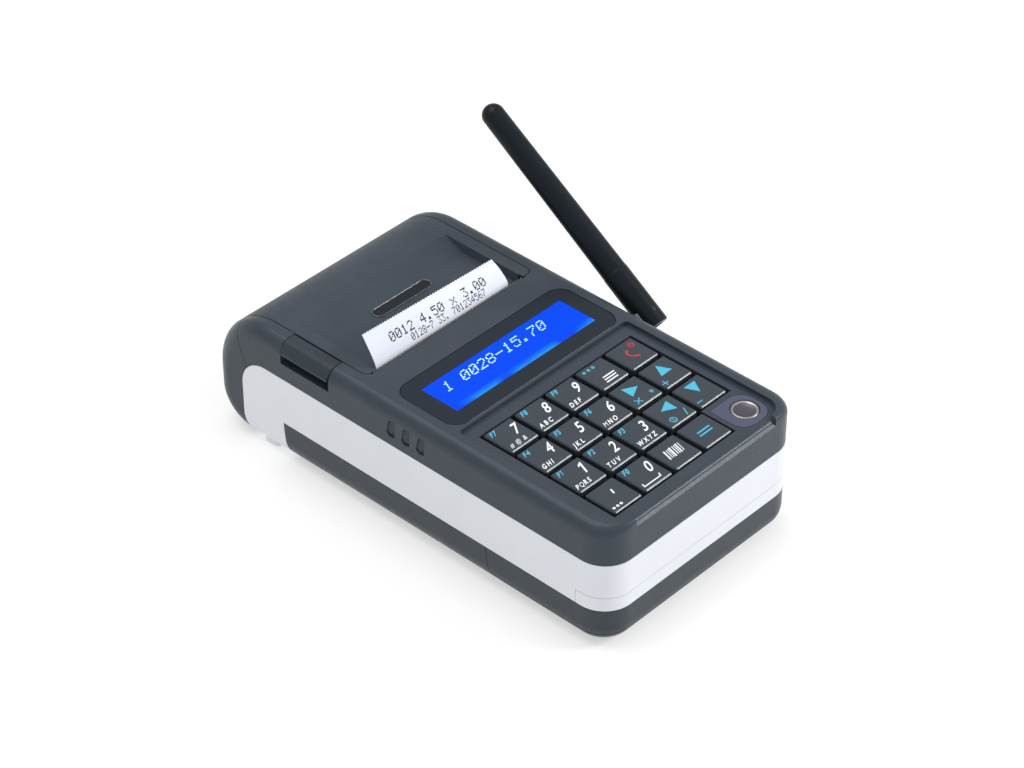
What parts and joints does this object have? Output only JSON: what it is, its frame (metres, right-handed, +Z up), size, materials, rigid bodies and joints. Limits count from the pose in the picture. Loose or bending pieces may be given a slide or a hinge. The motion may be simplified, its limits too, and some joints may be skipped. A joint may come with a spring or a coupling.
{
  "type": "portable payment terminal with receipt printer",
  "caption": "Handheld payment terminal with keypad, display window, receipt printer under a hinged cover, side latch, sliding battery door and folding antenna.",
  "frame": {"origin": "centre of the base shell's flat underside, 3.8 mm above the plane the rubber feet stand on", "axes": "+X to the user's right, +Y from the user towards the paper end, +Z up"},
  "size_m": [0.0986, 0.1614, 0.0839],
  "materials": {
    "slate_plastic": "fine matt grain",
    "slate_cover": "fine matt grain, semi-sheen",
    "base_plastic": "matt grain",
    "white_plastic": "satin",
    "key_plastic": "satin",
    "plaque_plastic": "satin",
    "button_metal": "satin",
    "window_plastic": "smoked, polished",
    "lcd_blue": "blue, lit",
    "mat_rubber": "matt",
    "board_green": "semi-gloss",
    "battery_wrap": "satin",
    "steel": "brushed",
    "bright_steel": "polished",
    "inner_plastic": "matt",
    "gear_plastic": "satin",
    "roller_rubber": "matt",
    "foot_rubber": "matt",
    "paper": "smooth paper",
    "antenna_plastic": "semi-gloss",
    "nickel": "bright nickel",
    "motor_metal": "satin"
  },
  "bodies": {
    "housing": {"top_shell": "slate_plastic", "mid_shell": "white_plastic", "base_shell": "base_plastic", "rear_housing": "slate_plastic", "rear_feet": "foot_rubber", "cover_hinge_pin": "steel", "latch_pin": "steel", "latch_spring": "steel", "tear_bar": "steel", "display_window": "window_plastic", "lcd_module": "lcd_blue", "keypad_mat": "mat_rubber", "keypad_board": "board_green", "button_plaque": "plaque_plastic", "main_board": "board_green", "battery_pack": "battery_wrap", "printer_frame": "inner_plastic", "paper_tub": "inner_plastic", "print_head": "motor_metal", "stepper_motor": "motor_metal", "antenna_jack": "nickel", "case_screws": "steel", "buzzer": "inner_plastic"},
    "cover": {"paper_cover": "slate_cover", "cover_badge": "plaque_plastic", "receipt_strip": "paper"},
    "latch": {"cover_latch": "slate_cover"},
    "antenna_base": {"antenna_knuckle": "nickel"},
    "antenna": {"antenna_whip": "antenna_plastic", "antenna_pin": "nickel"},
    "door": {"battery_door": "base_plastic", "battery_door_lip": "white_plastic", "front_feet": "foot_rubber"},
    "platen": {"platen_roller": "roller_rubber", "platen_shaft": "bright_steel", "platen_gear": "gear_plastic"},
    "roll": {"paper_roll": "paper"},
    "idler": {"idler_gear": "gear_plastic"},
    "pinion": {"motor_pinion": "steel"},
    "round_button": {"round_button": "button_metal"},
    "key_r1_c1": {"key_r1_c1": "key_plastic"},
    "key_r1_c2": {"key_r1_c2": "key_plastic"},
    "key_r1_c3": {"key_r1_c3": "key_plastic"},
    "key_r1_c4": {"key_r1_c4": "key_plastic"},
    "key_r2_c1": {"key_r2_c1": "key_plastic"},
    "key_r2_c2": {"key_r2_c2": "key_plastic"},
    "key_r2_c3": {"key_r2_c3": "key_plastic"},
    "key_r2_c4": {"key_r2_c4": "key_plastic"},
    "key_r2_c5": {"key_r2_c5": "key_plastic"},
    "key_r3_c1": {"key_r3_c1": "key_plastic"},
    "key_r3_c2": {"key_r3_c2": "key_plastic"},
    "key_r3_c3": {"key_r3_c3": "key_plastic"},
    "key_r3_c4": {"key_r3_c4": "key_plastic"},
    "key_r3_c5": {"key_r3_c5": "key_plastic"},
    "key_r4_c1": {"key_r4_c1": "key_plastic"},
    "key_r4_c2": {"key_r4_c2": "key_plastic"},
    "key_r4_c3": {"key_r4_c3": "key_plastic"},
    "key_r4_c4": {"key_r4_c4": "key_plastic"},
    "key_r4_c5": {"key_r4_c5": "key_plastic"}
  },
  "joints": [
    {"name": "paper_cover_hinge", "type": "hinge", "parent": "housing", "child": "cover", "pos_m": [0, 0.0765, 0.0128], "axis": [-1, 0, 0], "range_deg": [0, 85]},
    {"name": "cover_latch_pivot", "type": "hinge", "parent": "housing", "child": "latch", "pos_m": [-0.0371, 0.0404, 0.0397], "axis": [0, 1, 0], "range_deg": [0, 20], "stiffness_Nm_per_rad": 0.02, "springref_deg": -8.59},
    {"name": "antenna_swivel", "type": "hinge", "parent": "housing", "child": "antenna_base", "pos_m": [0.0514, -0.0139, 0.0326], "axis": [1, 0, 0], "range_deg": [-34.3, 145.7]},
    {"name": "antenna_fold", "type": "hinge", "parent": "antenna_base", "child": "antenna", "pos_m": [0.0514, -0.0139, 0.0326], "axis": [0, 0.5635, -0.8261], "range_deg": [0, 90]},
    {"name": "battery_door_slide", "type": "slide", "parent": "housing", "child": "door", "axis": [0, -1, 0], "range_m": [0, 0.044]},
    {"name": "platen_spin", "type": "hinge", "parent": "cover", "child": "platen", "pos_m": [0, 0.0254, 0.0302], "axis": [1, 0, 0], "continuous": true},
    {"name": "roll_spin", "type": "hinge", "parent": "housing", "child": "roll", "pos_m": [-0.003, 0.05, 0.0194], "axis": [1, 0, 0], "continuous": true},
    {"name": "idler_spin", "type": "hinge", "parent": "housing", "child": "idler", "pos_m": [0.0315, 0.0213, 0.01892], "axis": [1, 0, 0], "continuous": true},
    {"name": "pinion_spin", "type": "hinge", "parent": "housing", "child": "pinion", "pos_m": [0.0315, 0.0123, 0.01351], "axis": [1, 0, 0], "continuous": true},
    {"name": "round_button_press", "type": "slide", "parent": "housing", "child": "round_button", "axis": [0, 0, -1], "range_m": [0, 0.0007], "stiffness_N_per_m": 300, "springref_m": -0.001},
    {"name": "key_r1_c1_press", "type": "slide", "parent": "housing", "child": "key_r1_c1", "axis": [0, 0, -1], "range_m": [0, 0.0008], "stiffness_N_per_m": 300, "springref_m": -0.001},
    {"name": "key_r1_c2_press", "type": "slide", "parent": "housing", "child": "key_r1_c2", "axis": [0, 0, -1], "range_m": [0, 0.0008], "stiffness_N_per_m": 300, "springref_m": -0.001},
    {"name": "key_r1_c3_press", "type": "slide", "parent": "housing", "child": "key_r1_c3", "axis": [0, 0, -1], "range_m": [0, 0.0008], "stiffness_N_per_m": 300, "springref_m": -0.001},
    {"name": "key_r1_c4_press", "type": "slide", "parent": "housing", "child": "key_r1_c4", "axis": [0, 0, -1], "range_m": [0, 0.0008], "stiffness_N_per_m": 300, "springref_m": -0.001},
    {"name": "key_r2_c1_press", "type": "slide", "parent": "housing", "child": "key_r2_c1", "axis": [0, 0, -1], "range_m": [0, 0.0008], "stiffness_N_per_m": 300, "springref_m": -0.001},
    {"name": "key_r2_c2_press", "type": "slide", "parent": "housing", "child": "key_r2_c2", "axis": [0, 0, -1], "range_m": [0, 0.0008], "stiffness_N_per_m": 300, "springref_m": -0.001},
    {"name": "key_r2_c3_press", "type": "slide", "parent": "housing", "child": "key_r2_c3", "axis": [0, 0, -1], "range_m": [0, 0.0008], "stiffness_N_per_m": 300, "springref_m": -0.001},
    {"name": "key_r2_c4_press", "type": "slide", "parent": "housing", "child": "key_r2_c4", "axis": [0, 0, -1], "range_m": [0, 0.0008], "stiffness_N_per_m": 300, "springref_m": -0.001},
    {"name": "key_r2_c5_press", "type": "slide", "parent": "housing", "child": "key_r2_c5", "axis": [0, 0, -1], "range_m": [0, 0.0008], "stiffness_N_per_m": 300, "springref_m": -0.001},
    {"name": "key_r3_c1_press", "type": "slide", "parent": "housing", "child": "key_r3_c1", "axis": [0, 0, -1], "range_m": [0, 0.0008], "stiffness_N_per_m": 300, "springref_m": -0.001},
    {"name": "key_r3_c2_press", "type": "slide", "parent": "housing", "child": "key_r3_c2", "axis": [0, 0, -1], "range_m": [0, 0.0008], "stiffness_N_per_m": 300, "springref_m": -0.001},
    {"name": "key_r3_c3_press", "type": "slide", "parent": "housing", "child": "key_r3_c3", "axis": [0, 0, -1], "range_m": [0, 0.0008], "stiffness_N_per_m": 300, "springref_m": -0.001},
    {"name": "key_r3_c4_press", "type": "slide", "parent": "housing", "child": "key_r3_c4", "axis": [0, 0, -1], "range_m": [0, 0.0008], "stiffness_N_per_m": 300, "springref_m": -0.001},
    {"name": "key_r3_c5_press", "type": "slide", "parent": "housing", "child": "key_r3_c5", "axis": [0, 0, -1], "range_m": [0, 0.0008], "stiffness_N_per_m": 300, "springref_m": -0.001},
    {"name": "key_r4_c1_press", "type": "slide", "parent": "housing", "child": "key_r4_c1", "axis": [0, 0, -1], "range_m": [0, 0.0008], "stiffness_N_per_m": 300, "springref_m": -0.001},
    {"name": "key_r4_c2_press", "type": "slide", "parent": "housing", "child": "key_r4_c2", "axis": [0, 0, -1], "range_m": [0, 0.0008], "stiffness_N_per_m": 300, "springref_m": -0.001},
    {"name": "key_r4_c3_press", "type": "slide", "parent": "housing", "child": "key_r4_c3", "axis": [0, 0, -1], "range_m": [0, 0.0008], "stiffness_N_per_m": 300, "springref_m": -0.001},
    {"name": "key_r4_c4_press", "type": "slide", "parent": "housing", "child": "key_r4_c4", "axis": [0, 0, -1], "range_m": [0, 0.0008], "stiffness_N_per_m": 300, "springref_m": -0.001},
    {"name": "key_r4_c5_press", "type": "slide", "parent": "housing", "child": "key_r4_c5", "axis": [0, 0, -1], "range_m": [0, 0.0008], "stiffness_N_per_m": 300, "springref_m": -0.001}
  ],
  "couplings": [
    {"joint": "idler_spin", "follows": "platen_spin", "ratio": -0.77778},
    {"joint": "pinion_spin", "follows": "platen_spin", "ratio": 1.4}
  ]
}
